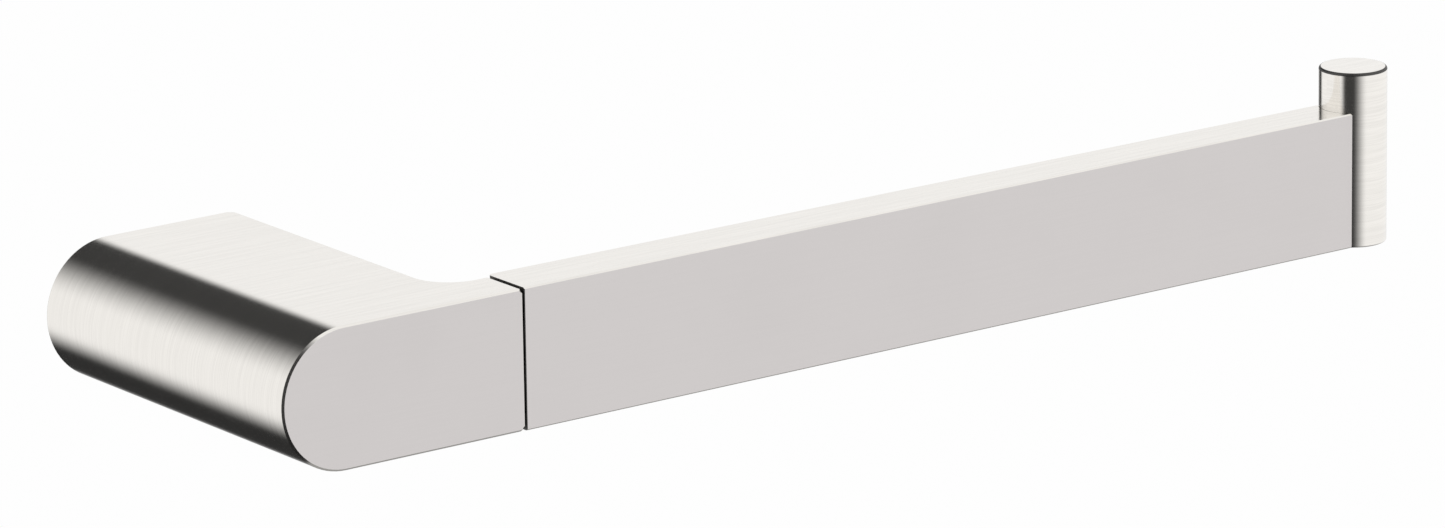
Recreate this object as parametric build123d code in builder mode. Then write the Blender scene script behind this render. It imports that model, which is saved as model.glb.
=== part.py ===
from build123d import *
import os

os.makedirs("parts", exist_ok=True)

# A wall-mounted toilet paper holder: a D-shaped post with a short arm stub, a flat bar that
# the roll hangs on, and an upright pin at the bar's free end that keeps the roll in place.
# Millimetres. X runs along the bar, Y into the wall and Z up. The wall is the plane Y = 0,
# and the origin is the middle of the post's wall face.

# ---- Driving dimensions ----
height = 20.0                # post and bar, top to bottom
post_width = 30.7            # along the wall
post_depth = 58.1            # wall to front face
stub_length = 8.25           # how far the arm stub runs past the post's side
stub_thickness = 7.5
inside_corner = 6.0          # radius between the post's side and the stub
seam_gap = 0.3               # shadow gap between stub and bar
bar_length = 146.0           # shadow gap to the pin
bar_thick = 8.6              # at the seam
bar_thin = 7.0               # at the pin
pin_diameter = 9.9
pin_height = 25.9
wall = 3.0                   # of the hollow post
pocket_depth = 45.5
edge_round = 0.35            # outline of the front faces
wall_corner = 1.0            # corner at the wall on the stub's side
stub_corner = 0.7            # top and bottom corners of the stub's end
bar_corner = 0.8             # back corner of the bar at the seam
pin_side_corner = 1.6        # back corner of the bar at the pin
pin_offset = 2.9             # bar's end to the pin's axis
pin_setback = 0.25           # pin's axis behind the middle of the bar's end
pin_top_edge = 0.4
pin_bottom_edge = 0.25
fit_gap = 0.05               # between pieces that slide together

# ---- Places worked out from them ----
half_height = height / 2
post_left = -post_width / 2
post_right = post_width / 2
round_x = post_left + half_height            # centre line of the post's round side
front = -post_depth
stub_end_x = post_right + stub_length
bar_start = stub_end_x + seam_gap
bar_end = bar_start + bar_length
pin_radius = pin_diameter / 2
pin_x = bar_end + pin_offset
pin_y = front + bar_thin / 2 + pin_setback
pocket_floor = -pocket_depth
tenon_y = front + stub_thickness / 2         # middle of the bar's tenon

# ---- Joint between post and bar ----
tenon_thickness = 4.0
tenon_height = 12.0
tenon_length = 27.5
mortise_end_gap = 1.0
land_thickness = 5.6                         # raised land round the tenon, in the shadow gap
land_height = 17.0
arm_screw_places = {"left_arm_screw": 0.0, "right_arm_screw": 8.0}

# ---- Joint between bar and pin ----
tongue_thickness = 3.0
tongue_height = 13.0
tongue_reach = 1.5                           # past the pin's axis
tongue_root = 3.0                            # inside the bar

# ---- Wall bracket ----
bracket_gap = 0.25                           # between bracket and post, all round
bracket_depth = 9.0
bracket_edge = 0.5
wall_screw_spacing = 13.0
wall_screw_hole = 4.4
wall_screw_head = 8.4
lock_groove_y = -4.6                         # the lock screw's groove, from the wall
lock_groove_width = 5.4
lock_groove_depth = 2.2

# ---- Metric screws: diameter, hexagon across flats ----
m5, m5_key = 5.0, 2.5
m4, m4_grub_key = 4.0, 2.0
m4_head, m4_head_key = 7.0, 3.0
m4_clearance = 4.5
bracket_screw_length = 5.0
arm_screw_length = 10.0
pin_screw_length = 3.0


def d_profile(inset):
    """Draw the post's section, half round on the left, moved inwards by the inset."""
    radius = half_height - inset
    flat = post_right - inset - round_x
    with Locations((round_x, 0)):
        Circle(radius)
        Rectangle(flat, 2 * radius, align=(Align.MIN, Align.CENTER))


def grub_screw(drive_end, diameter, key, length):
    """A headless screw that runs back from its drive end, with a coned point."""
    with BuildPart() as screw:
        with BuildSketch(drive_end):
            Circle(diameter / 2)
        extrude(amount=-length)
        ends = screw.edges().filter_by(GeomType.CIRCLE).sort_by_distance(drive_end.origin)
        chamfer(ends[-1], diameter / 4)
        ends = screw.edges().filter_by(GeomType.CIRCLE).sort_by_distance(drive_end.origin)
        chamfer(ends[0], diameter / 12)
        with BuildSketch(drive_end):
            RegularPolygon(key / 2, 6, major_radius=False)
        extrude(amount=-length / 2, mode=Mode.SUBTRACT)
    return screw


def cap_screw(head_seat, diameter, head, key, length):
    """A socket head screw: its head stands on the seat and its shank runs back from it."""
    with BuildPart() as screw:
        with BuildSketch(head_seat):
            Circle(head / 2)
        extrude(amount=diameter)
        top = screw.faces().filter_by(GeomType.PLANE).sort_by_distance(
            head_seat.origin + head_seat.z_dir * 2 * diameter)[0]
        chamfer(top.edges(), diameter / 10)
        with BuildSketch(head_seat.offset(diameter)):
            RegularPolygon(key / 2, 6, major_radius=False)
        extrude(amount=-diameter / 2, mode=Mode.SUBTRACT)
        with BuildSketch(head_seat):
            Circle(diameter / 2)
        extrude(amount=-length)
    return screw


# ---- Post: cast body, hollow at the back, with the arm stub and the tenon's mortise ----
with BuildPart() as post:
    with BuildSketch(Plane.XZ):
        d_profile(0)
    extrude(amount=post_depth)
    with BuildSketch(Plane.XZ.offset(post_depth)):
        with Locations((round_x, 0)):
            Rectangle(stub_end_x - round_x, height, align=(Align.MIN, Align.CENTER))
    extrude(amount=-stub_thickness)
    upright = post.edges().filter_by(Axis.Z)
    inside = upright.sort_by_distance((post_right, front + stub_thickness, 0))[0]
    fillet(inside, inside_corner)
    at_wall = post.edges().filter_by(Axis.Z).sort_by_distance((post_right, 0, 0))[0]
    fillet(at_wall, wall_corner)
    stub_end = post.faces().sort_by(Axis.X)[-1]
    fillet(stub_end.edges().filter_by(Axis.Y), stub_corner)
    front_face = post.faces().filter_by(Axis.Y).sort_by(Axis.Y)[0]
    fillet(front_face.edges(), edge_round)
    # hollow
    with BuildSketch(Plane.XZ):
        d_profile(wall)
    extrude(amount=pocket_depth, mode=Mode.SUBTRACT)
    # mortise for the bar's tenon
    with BuildSketch(Plane.YZ.offset(stub_end_x)):
        with Locations((tenon_y, 0)):
            Rectangle(tenon_thickness + 2 * fit_gap, tenon_height + 2 * fit_gap)
    extrude(amount=-tenon_length - mortise_end_gap, mode=Mode.SUBTRACT)
    # clearance holes for the arm screws, from the pocket's floor into the mortise
    with BuildSketch(Plane.XZ.offset(pocket_depth)):
        with Locations(*[(x, 0) for x in arm_screw_places.values()]):
            Circle(m4_clearance / 2)
    extrude(amount=pocket_floor - tenon_y, mode=Mode.SUBTRACT)
    # hole for the lock screw, in the underside
    with BuildSketch(Plane.XY.offset(-half_height)):
        with Locations((0, lock_groove_y)):
            Circle(m5 / 2 + fit_gap)
    extrude(amount=wall + bracket_gap, mode=Mode.SUBTRACT)

post.part.label = "post"
export_step(post.part, "parts/post.step")

# ---- Wall bracket: block inside the post, with two screws into the wall ----
with BuildPart() as wall_bracket:
    with BuildSketch(Plane.XZ):
        d_profile(wall + bracket_gap)
    extrude(amount=bracket_depth)
    bracket_front = wall_bracket.faces().sort_by(Axis.Y)[0]
    chamfer(bracket_front.edges(), bracket_edge)
    with Locations(Plane.XZ.offset(bracket_depth)):
        with GridLocations(wall_screw_spacing, 0, 2, 1):
            CounterSinkHole(wall_screw_hole / 2, wall_screw_head / 2)
    # groove that the lock screw's point presses on
    groove_floor = -half_height + wall + bracket_gap + lock_groove_depth
    with BuildSketch(Plane.XY.offset(groove_floor)):
        with Locations((0, lock_groove_y)):
            Rectangle(post_width, lock_groove_width)
    extrude(amount=-2 * lock_groove_depth, mode=Mode.SUBTRACT)

wall_bracket.part.label = "wall_bracket"
export_step(wall_bracket.part, "parts/wall_bracket.step")

# ---- Lock screw: up through the post's underside into the bracket's groove ----
lock_screw_end = groove_floor - bracket_screw_length
lock_screw_plane = Plane((0, lock_groove_y, lock_screw_end), z_dir=(0, 0, -1))
bracket_lock_screw = grub_screw(lock_screw_plane, m5, m5_key, bracket_screw_length)

bracket_lock_screw.part.label = "bracket_lock_screw"
export_step(bracket_lock_screw.part, "parts/bracket_lock_screw.step")

# ---- Bar: flat, a little thinner towards the pin, with a tenon and a tongue ----
with BuildPart() as arm_bar:
    with BuildSketch(Plane.XY.offset(-half_height)):
        with BuildLine():
            Polyline(
                (bar_start, front),
                (bar_end, front),
                (bar_end, front + bar_thin),
                (bar_start, front + bar_thick),
                close=True,
            )
        make_face()
    extrude(amount=height)
    upright = arm_bar.edges().filter_by(Axis.Z)
    fillet(upright.sort_by_distance((bar_end, front + bar_thin, 0))[0], pin_side_corner)
    fillet(upright.sort_by_distance((bar_start, front + bar_thick, 0))[0], bar_corner)
    front_face = arm_bar.faces().filter_by(Axis.Y).sort_by(Axis.Y)[0]
    fillet(front_face.edges(), edge_round)
    # hollow end that sits round the pin
    with BuildSketch(Plane.XY.offset(-height)):
        with Locations((pin_x, pin_y)):
            Circle(pin_radius + fit_gap)
    extrude(amount=2 * height, mode=Mode.SUBTRACT)
    # land that stands against the stub, then the tenon with a threaded hole for each arm screw
    with BuildSketch(Plane.YZ.offset(bar_start)):
        with Locations((tenon_y, 0)):
            Rectangle(land_thickness, land_height)
    extrude(amount=-seam_gap)
    with BuildSketch(Plane.YZ.offset(stub_end_x)):
        with Locations((tenon_y, 0)):
            Rectangle(tenon_thickness, tenon_height)
    extrude(amount=-tenon_length)
    with BuildSketch(Plane.XZ.offset(-tenon_y - tenon_thickness)):
        with Locations(*[(x, 0) for x in arm_screw_places.values()]):
            Circle(m4 / 2 + fit_gap)
    extrude(amount=2 * tenon_thickness, mode=Mode.SUBTRACT)
    # tongue
    with BuildSketch(Plane.YZ.offset(bar_end - tongue_root)):
        with Locations((pin_y, 0)):
            Rectangle(tongue_thickness, tongue_height)
    extrude(amount=tongue_root + pin_offset + tongue_reach)

arm_bar.part.label = "arm_bar"
export_step(arm_bar.part, "parts/arm_bar.step")

# ---- Arm screws: from the pocket's floor through the web into the tenon ----
for name, x in arm_screw_places.items():
    head_seat = Plane((x, pocket_floor, 0), x_dir=(1, 0, 0), z_dir=(0, 1, 0))
    arm_screw = cap_screw(head_seat, m4, m4_head, m4_head_key, arm_screw_length)
    arm_screw.part.label = name
    export_step(arm_screw.part, f"parts/{name}.step")

# ---- End pin: round, flush with the bar below and standing above it ----
with BuildPart() as end_pin:
    with BuildSketch(Plane.XY.offset(-half_height)):
        with Locations((pin_x, pin_y)):
            Circle(pin_radius)
    extrude(amount=pin_height)
    rims = end_pin.edges().filter_by(GeomType.CIRCLE).sort_by(Axis.Z)
    fillet(rims[-1], pin_top_edge)
    fillet(rims[0], pin_bottom_edge)
    # slot for the bar's tongue
    with BuildSketch(Plane.YZ.offset(pin_x - pin_radius)):
        with Locations((pin_y, 0)):
            Rectangle(tongue_thickness + 2 * fit_gap, tongue_height + 2 * fit_gap)
    extrude(amount=pin_radius + tongue_reach + fit_gap, mode=Mode.SUBTRACT)
    # threaded hole for the lock screw, from below up to the slot
    with BuildSketch(Plane.XY.offset(-half_height)):
        with Locations((pin_x, pin_y)):
            Circle(m4 / 2 + fit_gap)
    extrude(amount=half_height - tongue_height / 2, mode=Mode.SUBTRACT)

end_pin.part.label = "end_pin"
export_step(end_pin.part, "parts/end_pin.step")

# ---- Pin lock screw: from below, against the tongue ----
pin_screw_end = -tongue_height / 2 - pin_screw_length
pin_screw_plane = Plane((pin_x, pin_y, pin_screw_end), z_dir=(0, 0, -1))
pin_lock_screw = grub_screw(pin_screw_plane, m4, m4_grub_key, pin_screw_length)

pin_lock_screw.part.label = "pin_lock_screw"
export_step(pin_lock_screw.part, "parts/pin_lock_screw.step")
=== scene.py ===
import bpy
import bmesh
import math
from mathutils import Matrix, Vector


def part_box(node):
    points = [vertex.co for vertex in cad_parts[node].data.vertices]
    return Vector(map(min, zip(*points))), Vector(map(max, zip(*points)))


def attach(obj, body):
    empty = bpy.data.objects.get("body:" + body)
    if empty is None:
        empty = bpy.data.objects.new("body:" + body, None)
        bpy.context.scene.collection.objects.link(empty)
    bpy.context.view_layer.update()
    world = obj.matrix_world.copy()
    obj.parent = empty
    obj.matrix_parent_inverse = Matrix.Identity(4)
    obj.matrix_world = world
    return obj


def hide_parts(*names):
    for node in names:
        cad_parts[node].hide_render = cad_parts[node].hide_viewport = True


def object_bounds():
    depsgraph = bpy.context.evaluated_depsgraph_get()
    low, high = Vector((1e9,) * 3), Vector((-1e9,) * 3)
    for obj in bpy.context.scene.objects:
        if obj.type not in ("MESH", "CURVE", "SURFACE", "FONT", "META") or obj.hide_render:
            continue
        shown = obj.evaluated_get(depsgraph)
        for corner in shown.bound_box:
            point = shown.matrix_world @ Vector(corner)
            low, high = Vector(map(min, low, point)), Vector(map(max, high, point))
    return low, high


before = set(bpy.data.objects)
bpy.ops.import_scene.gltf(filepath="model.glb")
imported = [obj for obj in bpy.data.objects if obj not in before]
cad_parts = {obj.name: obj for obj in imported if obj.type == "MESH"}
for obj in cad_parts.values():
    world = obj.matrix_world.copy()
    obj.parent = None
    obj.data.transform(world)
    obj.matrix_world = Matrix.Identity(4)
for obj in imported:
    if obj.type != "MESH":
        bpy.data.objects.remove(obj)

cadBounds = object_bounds()
mm = 0.001

shared = {
    "cutOver": 1 * mm,            # how far a cutting tool stands past the face it cuts
    "bevelFrom": math.radians(50),
    "smoothBelow": math.radians(35),
    "along": 0.9,                 # a direction counts as along an axis past this share
    "straight": 0.999,            # and as straight along it past this one
    "facing": 0.7,                # a face's strokes are laid out by the way it faces
    "halfFacing": 0.5,
    "samePlace": 0.02 * mm,       # places closer than this are the same
    "merge": 0.001 * mm,
}


def clearSelection():
    for other in list(bpy.context.selected_objects):
        other.select_set(False)


def editPiece(piece):
    clearSelection()
    bpy.context.view_layer.objects.active = piece
    piece.select_set(True)
    bpy.ops.object.mode_set(mode="EDIT")


def leaveEdit():
    bpy.ops.object.mode_set(mode="OBJECT")


def pickFaces(test):
    # selects the faces whose centre and normal pass the test
    bpy.ops.mesh.select_mode(type="FACE")
    bpy.ops.mesh.select_all(action="DESELECT")
    piece = bpy.context.edit_object
    cage = bmesh.from_edit_mesh(piece.data)
    for face in cage.faces:
        face.select_set(bool(test(face.calc_center_median(), face.normal)))
    bmesh.update_edit_mesh(piece.data)


def pickEdges(test):
    # selects the edges whose middle and direction pass the test
    bpy.ops.mesh.select_mode(type="EDGE")
    bpy.ops.mesh.select_all(action="DESELECT")
    piece = bpy.context.edit_object
    cage = bmesh.from_edit_mesh(piece.data)
    for edge in cage.edges:
        ends = [corner.co for corner in edge.verts]
        along = (ends[1] - ends[0]).normalized()
        edge.select_set(bool(test((ends[0] + ends[1]) / 2, along)))
    bmesh.update_edit_mesh(piece.data)


def bevelEdges(width, steps):
    bpy.ops.mesh.bevel(offset=width, segments=steps, affect="EDGES", clamp_overlap=False)


def extrudeBy(x, y, z):
    bpy.ops.mesh.extrude_region_move(TRANSFORM_OT_translate={"value": (x, y, z)})


def near(a, b):
    return abs(a - b) < shared["samePlace"]


def isAlong(share):
    return abs(share) > shared["along"]


def addBox(name, low, high):
    # a box between two corners, with its place in its mesh
    clearSelection()
    low, high = Vector(low), Vector(high)
    bpy.ops.mesh.primitive_cube_add(size=1, location=(low + high) / 2, scale=high - low)
    piece = bpy.context.object
    piece.name = piece.data.name = name
    bpy.ops.object.transform_apply(location=True, rotation=True, scale=True)
    return piece


def addRod(name, radius, start, end, sides=48):
    # a round rod from one point to another
    clearSelection()
    start, end = Vector(start), Vector(end)
    turn = (end - start).to_track_quat("Z", "Y").to_euler()
    bpy.ops.mesh.primitive_cylinder_add(vertices=sides, radius=radius, rotation=turn,
                                        depth=(end - start).length, location=(start + end) / 2)
    piece = bpy.context.object
    piece.name = piece.data.name = name
    bpy.ops.object.transform_apply(location=True, rotation=True, scale=True)
    return piece


def applyModifier(piece, kind, **settings):
    clearSelection()
    bpy.context.view_layer.objects.active = piece
    piece.select_set(True)
    added = piece.modifiers.new(kind.lower(), kind)
    for setting, value in settings.items():
        setattr(added, setting, value)
    bpy.ops.object.modifier_apply(modifier=added.name)


def cutWith(piece, tool, operation="DIFFERENCE"):
    applyModifier(piece, "BOOLEAN", object=tool, operation=operation, solver="EXACT")
    bpy.data.objects.remove(tool, do_unlink=True)


def breakEdges(piece, width, steps):
    applyModifier(piece, "BEVEL", width=width, segments=steps, limit_method="ANGLE",
                  angle_limit=shared["bevelFrom"], use_clamp_overlap=False,
                  miter_outer="MITER_ARC")


def shadePiece(piece):
    # keeps flats flat and rounds smooth
    clearSelection()
    bpy.context.view_layer.objects.active = piece
    piece.select_set(True)
    bpy.ops.object.shade_smooth_by_angle(angle=shared["smoothBelow"])
    applyModifier(piece, "WEIGHTED_NORMAL", weight=100, keep_sharp=True)


def brushMap(piece, brushAt):
    # UV map in metres: U runs along the brush strokes and V across them
    layer = piece.data.uv_layers.new(name="brush")
    for face in piece.data.polygons:
        for loop in face.loop_indices:
            corner = piece.data.vertices[piece.data.loops[loop].vertex_index].co
            layer.data[loop].uv = brushAt(corner, face.center, face.normal)


postLow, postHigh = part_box("post")
pinLow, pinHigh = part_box("end_pin")
halfHeight = postHigh.z
frontY = postLow.y
pinX = (pinLow.x + pinHigh.x) / 2
pinY = (pinLow.y + pinHigh.y) / 2
stubEndX = postHigh.x
roundX = postLow.x + halfHeight       # centre line of the post's round side


post = {
    "width": 30.7 * mm,
    "stubThickness": 7.5 * mm,
    "insideCorner": 6 * mm,       # between the post and the stub
    "insideSteps": 20,
    "wallCorner": 1 * mm,
    "wallCornerSteps": 6,
    "stubCorner": 0.7 * mm,
    "stubCornerSteps": 8,
    "wall": 3 * mm,
    "pocketDepth": 45.5 * mm,
    "roundSteps": 40,             # faces round the half circle
    "frontChamfer": 0.3 * mm,
    "edge": 0.12 * mm,
    "edgeSteps": 3,
    "tenonLength": 27.5 * mm,
    "tenonHeight": 12 * mm,
    "tenonThickness": 4 * mm,
    "mortiseEndGap": 1 * mm,
    "slack": 0.05 * mm,           # between pieces that slide together
    "screwHole": 2.25 * mm,       # radius of the clearance holes
    "thread": 2.05 * mm,          # radius of the threaded holes
}


def makePost():
    rightX = postLow.x + post["width"]
    stubBackY = frontY + post["stubThickness"]
    piece = addBox("post_shell", postLow, (rightX, postHigh.y, postHigh.z))
    editPiece(piece)
    pickEdges(lambda middle, along: isAlong(along.y) and near(middle.x, postLow.x))
    bevelEdges(halfHeight, post["roundSteps"] // 2)
    bpy.ops.mesh.select_all(action="SELECT")
    bpy.ops.mesh.remove_doubles(threshold=shared["merge"])
    bpy.ops.mesh.bisect(plane_co=(0, stubBackY, 0), plane_no=(0, 1, 0))
    pickFaces(lambda centre, normal: normal.x > shared["along"] and centre.y < stubBackY)
    extrudeBy(stubEndX - rightX, 0, 0)
    # hollow back
    pickFaces(lambda centre, normal: normal.y > shared["along"] and near(centre.y, postHigh.y))
    bpy.ops.mesh.inset(thickness=post["wall"], use_even_offset=True)
    extrudeBy(0, -post["pocketDepth"], 0)
    # rounded corners
    pickEdges(lambda middle, along: isAlong(along.z) and near(middle.x, rightX)
              and near(middle.y, stubBackY))
    bevelEdges(post["insideCorner"], post["insideSteps"])
    pickEdges(lambda middle, along: isAlong(along.z) and near(middle.x, rightX)
              and near(middle.y, postHigh.y))
    bevelEdges(post["wallCorner"], post["wallCornerSteps"])
    pickEdges(lambda middle, along: isAlong(along.y) and near(middle.x, stubEndX))
    bevelEdges(post["stubCorner"], post["stubCornerSteps"])
    # flat chamfer round the front face, except at the seam
    pickEdges(lambda middle, along: near(middle.y, frontY) and not near(middle.x, stubEndX))
    bevelEdges(post["frontChamfer"], 1)
    leaveEdit()
    # mortise for the bar's tenon, and the screw holes
    tenonY = frontY + post["stubThickness"] / 2
    reach = post["tenonLength"] + post["mortiseEndGap"]
    tall = post["tenonHeight"] / 2 + post["slack"]
    thick = post["tenonThickness"] / 2 + post["slack"]
    cutWith(piece, addBox("mortise", (stubEndX - reach, tenonY - thick, -tall),
                          (stubEndX + shared["cutOver"], tenonY + thick, tall)))
    for name in ("left_arm_screw", "right_arm_screw"):
        screwX = sum(corner.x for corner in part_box(name)) / 2
        cutWith(piece, addRod("screwHole", post["screwHole"], (screwX, tenonY, 0),
                              (screwX, -post["pocketDepth"] + shared["cutOver"], 0)))
    lockLow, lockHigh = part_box("bracket_lock_screw")
    lockMiddle = (lockLow + lockHigh) / 2
    cutWith(piece, addRod("lockHole", lockHigh.x + post["slack"],
                          (lockMiddle.x, lockMiddle.y, -halfHeight - shared["cutOver"]),
                          (lockMiddle.x, lockMiddle.y, lockHigh.z)))
    breakEdges(piece, post["edge"], post["edgeSteps"])
    shadePiece(piece)

    def brushAt(corner, centre, normal):
        if abs(normal.y) > shared["facing"]:
            return corner.x, corner.z
        if centre.x < roundX:
            turn = math.atan2(corner.z, roundX - corner.x)
            return halfHeight * (turn - math.pi / 2), corner.y
        if abs(normal.z) > shared["halfFacing"]:
            if centre.z > 0:
                return corner.x - roundX, corner.y
            return roundX - corner.x - math.pi * halfHeight, corner.y
        return corner.x + corner.y, corner.z

    brushMap(piece, brushAt)
    return piece


bar = {
    "gap": 0.3 * mm,              # shadow gap at the stub
    "thick": 8.6 * mm,            # at the stub
    "thin": 7 * mm,               # at the pin
    "endToPin": 2.9 * mm,         # from the bar's end to the pin's centre line
    "stubCorner": 0.8 * mm,
    "pinCorner": 1.6 * mm,
    "cornerSteps": 8,
    "landHeight": 17 * mm,        # raised land in the shadow gap
    "landThickness": 5.6 * mm,
    "tongueHeight": 13 * mm,
    "tongueThickness": 3 * mm,
    "tongueRoot": 3 * mm,         # how far it runs back into the bar
    "overlap": 1 * mm,            # of the pieces that are joined on
    "frontChamfer": 0.2 * mm,
    "seamChamfer": 0.1 * mm,
    "backEdge": 0.2 * mm,
    "backEdgeSteps": 3,
}


def makeBar():
    startX, endX = stubEndX + bar["gap"], pinX - bar["endToPin"]
    thickY, thinY = frontY + bar["thick"], frontY + bar["thin"]
    tenonY = frontY + post["stubThickness"] / 2
    piece = addBox("bar", (startX, frontY, -halfHeight), (endX, thickY, halfHeight))
    editPiece(piece)
    # thinner towards the pin
    pickEdges(lambda middle, along: isAlong(along.z) and near(middle.x, endX)
              and near(middle.y, thickY))
    bpy.ops.transform.translate(value=(0, thinY - thickY, 0))
    bevelEdges(bar["pinCorner"], bar["cornerSteps"])
    pickEdges(lambda middle, along: isAlong(along.z) and near(middle.x, startX)
              and near(middle.y, thickY))
    bevelEdges(bar["stubCorner"], bar["cornerSteps"])
    # chamfers along the front, then the back of the top and underside
    pickEdges(lambda middle, along: near(middle.y, frontY) and isAlong(along.x))
    bevelEdges(bar["frontChamfer"], 1)
    pickEdges(lambda middle, along: near(middle.x, startX) and near(middle.y, frontY)
              and isAlong(along.z))
    bevelEdges(bar["seamChamfer"], 1)
    pickEdges(lambda middle, along: near(abs(middle.z), halfHeight)
              and abs(along.x) > shared["straight"] and middle.y > frontY + bar["thin"] / 2)
    bevelEdges(bar["backEdge"], bar["backEdgeSteps"])
    leaveEdit()
    # hollow end that sits round the pin
    cutWith(piece, addRod("pinSeat", pinRadius + post["slack"], (pinX, pinY, -2 * halfHeight),
                          (pinX, pinY, 2 * halfHeight), sides=pin["sides"]))
    # land in the shadow gap, then the tenon
    def slab(name, fromX, toX, middleY, thickness, tall):
        return addBox(name, (fromX, middleY - thickness / 2, -tall / 2),
                      (toX, middleY + thickness / 2, tall / 2))

    land = slab("land", stubEndX, startX + bar["overlap"], tenonY,
                bar["landThickness"], bar["landHeight"])
    tenon = slab("tenon", stubEndX - post["tenonLength"], startX + bar["overlap"], tenonY,
                 post["tenonThickness"], post["tenonHeight"])
    tongue = slab("tongue", endX - bar["tongueRoot"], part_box("arm_bar")[1].x, pinY,
                  bar["tongueThickness"], bar["tongueHeight"])
    for part in (land, tenon, tongue):
        cutWith(piece, part, "UNION")
    for name in ("left_arm_screw", "right_arm_screw"):
        low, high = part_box(name)
        screwX = (low.x + high.x) / 2
        cutWith(piece, addRod("screwThread", post["thread"],
                              (screwX, tenonY - post["tenonThickness"], 0),
                              (screwX, tenonY + post["tenonThickness"], 0)))
    shadePiece(piece)

    def brushAt(corner, centre, normal):
        if abs(normal.z) > shared["halfFacing"]:
            return corner.x, corner.y
        if isAlong(normal.x):
            return corner.y, corner.z
        return corner.x, corner.z

    brushMap(piece, brushAt)
    return piece


pin = {
    "sides": 128,
    "topEdge": 0.4 * mm,
    "bottomEdge": 0.25 * mm,
    "edgeSteps": 6,
    "slotReach": 1.55 * mm,       # past the centre line
}
pinRadius = (pinHigh.y - pinLow.y) / 2


def makePin():
    piece = addRod("pin", pinRadius, (pinX, pinY, pinLow.z), (pinX, pinY, pinHigh.z),
                   pin["sides"])
    editPiece(piece)
    for height, width in ((pinHigh.z, pin["topEdge"]), (pinLow.z, pin["bottomEdge"])):
        pickEdges(lambda middle, along: near(middle.z, height))
        bevelEdges(width, pin["edgeSteps"])
    leaveEdit()
    halfSlot = bar["tongueThickness"] / 2 + post["slack"]
    halfTall = bar["tongueHeight"] / 2 + post["slack"]
    cutWith(piece, addBox("slot", (pinLow.x - shared["cutOver"], pinY - halfSlot, -halfTall),
                          (pinX + pin["slotReach"], pinY + halfSlot, halfTall)))
    cutWith(piece, addRod("pinThread", post["thread"],
                          (pinX, pinY, pinLow.z - shared["cutOver"]),
                          (pinX, pinY, -bar["tongueHeight"] / 2)))
    shadePiece(piece)

    def brushAt(corner, centre, normal):
        if abs(normal.z) > shared["facing"]:
            return corner.x, corner.y
        middle = math.atan2(centre.y - pinY, centre.x - pinX)
        here = math.atan2(corner.y - pinY, corner.x - pinX)
        here = middle + math.remainder(here - middle, math.tau)
        return here * pinRadius, corner.z

    brushMap(piece, brushAt)
    return piece


class Tree:
    # one node tree and the few calls that fill it
    def __init__(self, owner):
        owner.use_nodes = True
        self.tree = owner.node_tree
        self.tree.nodes.clear()

    def node(self, kind, settings=None, values=None, out=0):
        made = self.tree.nodes.new(kind)
        for setting, value in (settings or {}).items():
            setattr(made, setting, value)
        for socket, value in (values or {}).items():
            self.join(made.inputs[socket], value)
        return Wire(self, made.outputs[out]) if len(made.outputs) else made

    def join(self, socket, value):
        if isinstance(value, Wire):
            self.tree.links.new(value.socket, socket)
        else:
            socket.default_value = value


class Wire:
    # a socket that can be added, multiplied and so on
    def __init__(self, tree, socket):
        self.tree, self.socket = tree, socket

    def maths(self, operation, *others):
        values = dict(enumerate((self,) + others))
        return self.tree.node("ShaderNodeMath", {"operation": operation}, values)

    def __add__(self, other):
        return self.maths("ADD", other)

    def __sub__(self, other):
        return self.maths("SUBTRACT", other)

    def __mul__(self, other):
        return self.maths("MULTIPLY", other)

    def __rsub__(self, other):
        return self.tree.node("ShaderNodeMath", {"operation": "SUBTRACT"}, {0: other, 1: self})

    __radd__ = __add__

    def smooth(self, low, high):
        # 0 below low, 1 above high, soft between
        return self.tree.node("ShaderNodeMapRange", {"interpolation_type": "SMOOTHSTEP"},
                              {"Value": self, "From Min": low, "From Max": high})

    def band(self, low, lowFull, highFull, high):
        # 1 between the two inner places, 0 outside the outer two
        return self.smooth(low, lowFull) * (1 - self.smooth(highFull, high))

    def output(self, name):
        return Wire(self.tree, self.socket.node.outputs[name])


brushedMetal = {
    "colour": (0.92, 0.892, 0.848),
    "roughness": 0.13,
    "strokeLength": 14 * mm,
    "strokeWidth": 0.2 * mm,
    "contrast": 0.07,             # how much darker the strokes' troughs are
    "bump": 0.1,
    "bumpDepth": 0.01 * mm,
    # share of the grain, how much longer and wider than a stroke, and seed
    "fineStrokes": (0.6, 1, 1, 3.1),
    "coarseStrokes": (0.4, 1.7, 4, 8.7),
    "strokeDetail": 2.0,
    "spread": (0.3, 0.7),         # grain that gives the darkest and the lightest tone
    "smoother": 0.03,             # roughness taken off before the strokes add theirs
    "strokeRoughness": 0.06,
    "patchScale": 60.0,
    "patchDetail": 3.0,
    "patchSpread": (0.45, 0.75),
    "patchRoughness": 0.025,
}
# front and back faces: a duller satin brush, and a darker colour that is painted shade
frontSatinAndShade = dict(brushedMetal, colour=(0.712, 0.681, 0.674), roughness=0.34,
                  contrast=0.015, bump=0.02)
pinMetal = dict(brushedMetal, colour=(0.95, 0.922, 0.878), strokeLength=9 * mm,
                strokeWidth=0.24 * mm, contrast=0.09, bump=0.16)


objectPlace = 3                   # output of a Texture Coordinate node that gives Object
mixedColour = 2                   # output of a Mix node that gives a colour


def shade(colour, amount):
    return tuple(part * amount for part in colour) + (1,)


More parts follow.
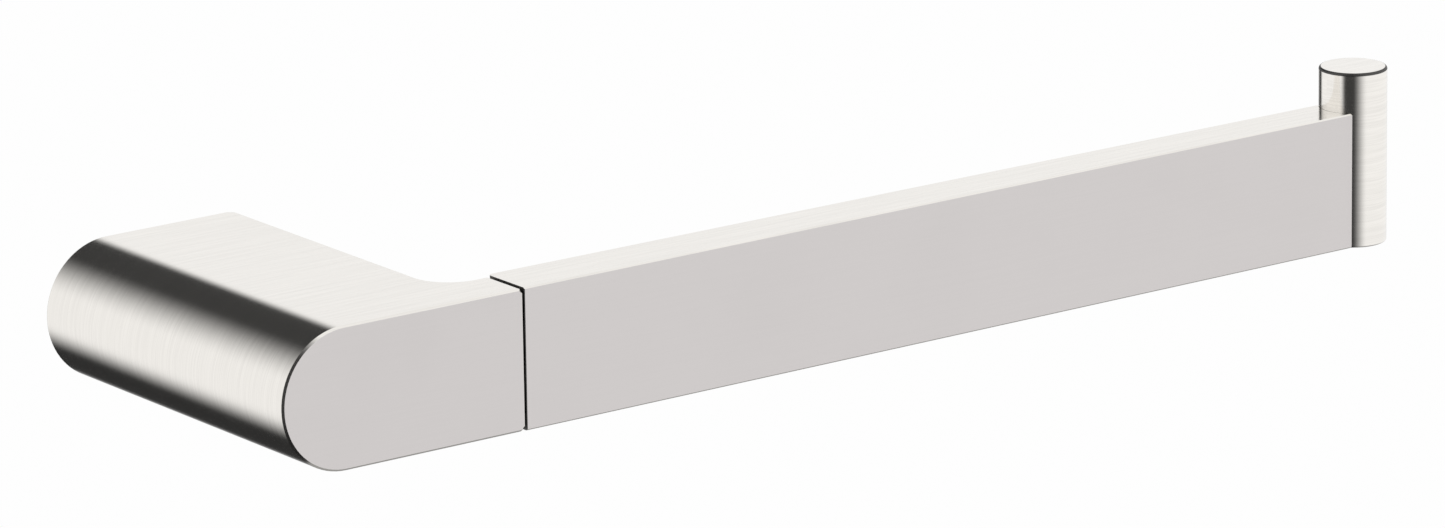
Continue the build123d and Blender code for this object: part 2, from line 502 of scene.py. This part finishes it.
def makeBrushed(name, look):
    made = bpy.data.materials.new(name)
    tree = Tree(made)
    brush = tree.node("ShaderNodeUVMap", {"uv_map": "brush"})

    def strokes(share, longer, wider, seed):
        scale = (1 / look["strokeLength"] / longer, 1 / look["strokeWidth"] / wider, 1)
        placed = tree.node("ShaderNodeMapping", {},
                           {"Vector": brush, "Location": (seed, seed, 0), "Scale": scale})
        noise = tree.node("ShaderNodeTexNoise", {"noise_dimensions": "2D"},
                          {"Vector": placed, "Scale": 1.0, "Detail": look["strokeDetail"]})
        return noise * share

    grain = strokes(*look["fineStrokes"]) + strokes(*look["coarseStrokes"])
    # hands leave faint soft patches that are a little duller
    place = tree.node("ShaderNodeTexCoord", out=objectPlace)
    patches = tree.node("ShaderNodeTexNoise", {}, {"Vector": place, "Scale": look["patchScale"],
                                                   "Detail": look["patchDetail"]})
    worn = patches.smooth(*look["patchSpread"])
    spread = grain.smooth(*look["spread"])
    colour = tree.node("ShaderNodeMix", {"data_type": "RGBA"},
                       {"Factor": spread, "A": shade(look["colour"], 1 - look["contrast"]),
                        "B": shade(look["colour"], 1)}, out=mixedColour)
    roughness = (look["roughness"] - look["smoother"] + grain * look["strokeRoughness"]
                 + worn * look["patchRoughness"])
    bump = tree.node("ShaderNodeBump", {},
                     {"Strength": look["bump"], "Distance": look["bumpDepth"], "Height": grain})
    shader = tree.node("ShaderNodeBsdfPrincipled", {}, {
        "Base Color": colour, "Metallic": 1.0, "Roughness": roughness, "Normal": bump})
    tree.node("ShaderNodeOutputMaterial", {}, {"Surface": shader})
    return made


# how far past its own outline a hollow still takes in the faces round it
inside = {
    "hollow": 0.1 * mm,
    "hollowDepth": 6 * mm,        # takes in the screw holes in the hollow's floor
    "wallRim": 0.3 * mm,          # left out where the hollow opens
    "mortise": 0.2 * mm,
    "mortiseDepth": 1.2 * mm,
    "seam": 0.03 * mm,
    "pinSeat": 0.1 * mm,
    "pinSkin": 0.6 * mm,          # the pin is brushed this deep
    "pinFlat": 0.97,              # faces flatter than this are its top, not the edge round it
}


# picks the faces that get painted shade: the seam at the stub end, the mortise and the hollow
# post
def postShadeFaces(centre, normal):
    rightX = postLow.x + post["width"]
    pocketFloor = -post["pocketDepth"]
    hollow = halfHeight - post["wall"] + inside["hollow"]
    tenonY = frontY + post["stubThickness"] / 2
    if near(centre.x, stubEndX):
        return True
    inMortise = (abs(centre.y - tenonY) < post["tenonThickness"] / 2 + inside["mortise"]
                 and abs(centre.z) < post["tenonHeight"] / 2 + inside["mortise"]
                 and centre.x > stubEndX - post["tenonLength"] - inside["mortiseDepth"])
    if inMortise:
        return True
    if pocketFloor - inside["hollowDepth"] < centre.y < -inside["wallRim"]:
        across = math.hypot(min(centre.x - roundX, 0), centre.z)
        return across < hollow and centre.x < rightX - post["wall"] + inside["hollow"]
    return False


# picks the faces that get painted shade: the seam at the stub and the seat round the pin
def barShadeFaces(centre, normal):
    fromPin = math.hypot(centre.x - pinX, centre.y - pinY)
    return (centre.x < stubEndX + bar["gap"] + inside["seam"]
            or fromPin < pinRadius + inside["pinSeat"])


def pinShadeFaces(centre, normal):
    # picks the faces that get painted shade: the slot and the thread, and the thin painted dark
    # reflection round the top edge
    fromAxis = math.hypot(centre.x - pinX, centre.y - pinY)
    atEnd = near(centre.z, pinHigh.z) or near(centre.z, pinLow.z)
    topEdge = centre.z > pinHigh.z - pin["topEdge"] and normal.z < inside["pinFlat"]
    return topEdge or (fromAxis < pinRadius - inside["pinSkin"] and not atEnd)


plainMetal = {
    "grainDetail": 3.0,
    "bumpDepth": 0.05 * mm,
    "cloudScale": 140.0,
    "cloudDetail": 4.0,
    "cloudSpread": (0.35, 0.65),  # clouds that give the darkest and the lightest tone
    "darkest": 0.82,
    "smoother": 0.05,             # roughness taken off before the clouds add theirs
    "cloudRoughness": 0.1,
}
# unpolished metal, darkened as painted shade, on the faces inside the joints and the hollow
# post; on the pin's top edge the same dark is a painted dark reflection
paintedShadeMetal = dict(plainMetal, colour=(0.12, 0.117, 0.114), roughness=0.5, grainScale=1100,
                bump=0.3)
castMetal = dict(plainMetal, colour=(0.5, 0.5, 0.49), roughness=0.42, grainScale=900,
                 bump=0.35)
screwMetal = dict(plainMetal, colour=(0.55, 0.545, 0.53), roughness=0.26, grainScale=1600,
                  bump=0.12)


def makePlain(name, look):
    # an unbrushed metal with a fine even grain and cloudy tone
    made = bpy.data.materials.new(name)
    tree = Tree(made)
    place = tree.node("ShaderNodeTexCoord", out=objectPlace)
    grain = tree.node("ShaderNodeTexNoise", {}, {"Vector": place, "Scale": look["grainScale"],
                                                 "Detail": look["grainDetail"]})
    clouds = tree.node("ShaderNodeTexNoise", {}, {"Vector": place, "Scale": look["cloudScale"],
                                                  "Detail": look["cloudDetail"]})
    colour = tree.node("ShaderNodeMix", {"data_type": "RGBA"},
                       {"Factor": clouds.smooth(*look["cloudSpread"]),
                        "A": shade(look["colour"], look["darkest"]),
                        "B": shade(look["colour"], 1)}, out=mixedColour)
    roughness = look["roughness"] - look["smoother"] + clouds * look["cloudRoughness"]
    bump = tree.node("ShaderNodeBump", {},
                     {"Strength": look["bump"], "Distance": look["bumpDepth"], "Height": grain})
    shader = tree.node("ShaderNodeBsdfPrincipled", {}, {
        "Base Color": colour, "Metallic": 1.0, "Roughness": roughness, "Normal": bump})
    tree.node("ShaderNodeOutputMaterial", {}, {"Surface": shader})
    return made


studio = {
    "below": 0.35,                # plain soft light, from below to above
    "above": 0.95,
    "rise": (-0.8, -0.3),         # where it changes, along Z
    # four dark flags, each with soft edges, two behind the wall plane and two in front
    "flagsBehind": ((35, 55, 95, 165), (220, 260, 300, 350)),     # degrees about Y from +X
    "flagsFront": ((5, 25, 50, 100), (200, 250, 290, 310)),       # degrees about Z from -X
    "flagDarkness": 0.95,
    "frontToBehind": (0.3, 0.6),  # along Y
}


def makeStudio():
    world = bpy.data.worlds.new("studio")
    bpy.context.scene.world = world
    world.cycles.sampling_method = "NONE"
    tree = Tree(world)
    direction = tree.node("ShaderNodeTexCoord")
    axes = tree.node("ShaderNodeSeparateXYZ", {}, {"Vector": direction})
    x, y, z = (axes.output(name) for name in "XYZ")
    # both in whole turns, the second one from -X
    aboutY = (z.maths("ARCTAN2", x) * (1 / math.tau)).maths("FRACT")
    compass = y.maths("ARCTAN2", x) * (1 / math.tau) + 0.5
    atBack = y.smooth(*studio["frontToBehind"])
    level = studio["below"] + z.smooth(*studio["rise"]) * (studio["above"] - studio["below"])
    for turn, share, flags in ((aboutY, atBack, studio["flagsBehind"]),
                               (compass, 1 - atBack, studio["flagsFront"])):
        for flag in flags:
            dark = turn.band(*(angle / 360 for angle in flag)) * studio["flagDarkness"]
            level = level * (1 - dark * share)
    # the camera itself sees plain white
    seen = tree.node("ShaderNodeLightPath").output("Is Camera Ray")
    level = level * (1 - seen) + seen
    glow = tree.node("ShaderNodeBackground", {}, {"Color": level, "Strength": 1.0})
    tree.node("ShaderNodeOutputWorld", {}, {"Surface": glow})


floorLook = {
    "size": 30,                   # metres
    "height": -0.35,
    "level": 0.99,
}


def makeFloor():
    clearSelection()
    bpy.ops.mesh.primitive_plane_add(size=floorLook["size"],
                                     location=(0, 0, floorLook["height"]))
    floor = bpy.context.object
    floor.name = "floor"
    made = bpy.data.materials.new("paleFloor")
    tree = Tree(made)
    glow = tree.node("ShaderNodeEmission", {},
                     {"Color": shade((1, 1, 1), floorLook["level"]), "Strength": 1.0})
    # clear from below
    clear = tree.node("ShaderNodeBsdfTransparent")
    below = tree.node("ShaderNodeNewGeometry").output("Backfacing")
    shown = tree.node("ShaderNodeMixShader", {}, {0: below, 1: glow, 2: clear})
    tree.node("ShaderNodeOutputMaterial", {}, {"Surface": shown})
    floor.data.materials.append(made)
    floor.visible_glossy = False
    floor.visible_diffuse = False


cameraLook = {
    "azimuth": -36.302,
    "elevation": 15.494,
    "roll": -0.839,
    "distance": 1210.39 * mm,
    "aim": (-10.976 * mm, -10.35 * mm, -1.693 * mm),      # from the middle of the part
    "lens": 217.02,
    "sensor": 36,
    "clip": (0.05, 50),
}


def makeCamera():
    azimuth = math.radians(cameraLook["azimuth"])
    elevation = math.radians(cameraLook["elevation"])
    back = Vector((math.sin(azimuth) * math.cos(elevation),
                   -math.cos(azimuth) * math.cos(elevation), math.sin(elevation)))
    aim = (Vector(cadBounds[0]) + Vector(cadBounds[1])) / 2 + Vector(cameraLook["aim"])
    roll = Matrix.Rotation(math.radians(cameraLook["roll"]), 3, "Z").to_quaternion()
    clearSelection()
    bpy.ops.object.camera_add(location=aim + back * cameraLook["distance"])
    camera = bpy.context.object
    camera.rotation_mode = "QUATERNION"
    camera.rotation_quaternion = (-back).to_track_quat("-Z", "Y") @ roll
    camera.data.lens = cameraLook["lens"]
    camera.data.sensor_width = cameraLook["sensor"]
    camera.data.clip_start, camera.data.clip_end = cameraLook["clip"]
    bpy.context.scene.camera = camera


makeCamera()
print("camera set")

sheen = makeBrushed("brushed_metal", brushedMetal)
satinAndShade = makeBrushed("brushed_front_painted_shade", frontSatinAndShade)
turned = makeBrushed("brushed_pin", pinMetal)
paintedShade = makePlain("painted_shade_metal", paintedShadeMetal)
for piece, node, metal, getsPaintedShade in ((makePost(), "post", sheen, postShadeFaces),
                                     (makeBar(), "arm_bar", sheen, barShadeFaces),
                                     (makePin(), "end_pin", turned, pinShadeFaces)):
    finishes = (metal, satinAndShade, paintedShade)
    piece.data.materials.clear()
    for finish in finishes:
        piece.data.materials.append(finish)
    for face in piece.data.polygons:
        atFront = face.normal.y < -shared["straight"] and near(face.center.y, frontY)
        atBack = face.normal.y > shared["along"]
        if getsPaintedShade(face.center, face.normal):
            # painted shade in the seams, joints and hollows, and painted dark reflection at the
            # pin's top edge
            face.material_index = finishes.index(paintedShade)
        # front and back faces get the satin copy whose darker colour is painted shade
        elif (atFront or atBack) and node != "end_pin":
            face.material_index = finishes.index(satinAndShade)
    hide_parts(node)
    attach(piece, "root")
    counts = [sum(face.material_index == index for face in piece.data.polygons)
              for index in range(len(finishes))]
    print(piece.name, "made, faces brushed, satin and raw:", counts)

# the bracket and screws keep their own shapes
bracketMetal = makePlain("bracket_metal", castMetal)
screwSteel = makePlain("screw_steel", screwMetal)
for node, metal in (("wall_bracket", bracketMetal), ("bracket_lock_screw", screwSteel),
                    ("left_arm_screw", screwSteel), ("right_arm_screw", screwSteel),
                    ("pin_lock_screw", screwSteel)):
    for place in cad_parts[node].material_slots:
        place.material = metal
print("bracket and screws have their metal")

makeStudio()
makeFloor()
bpy.context.scene.view_settings.view_transform = "Standard"
print("studio and floor set")
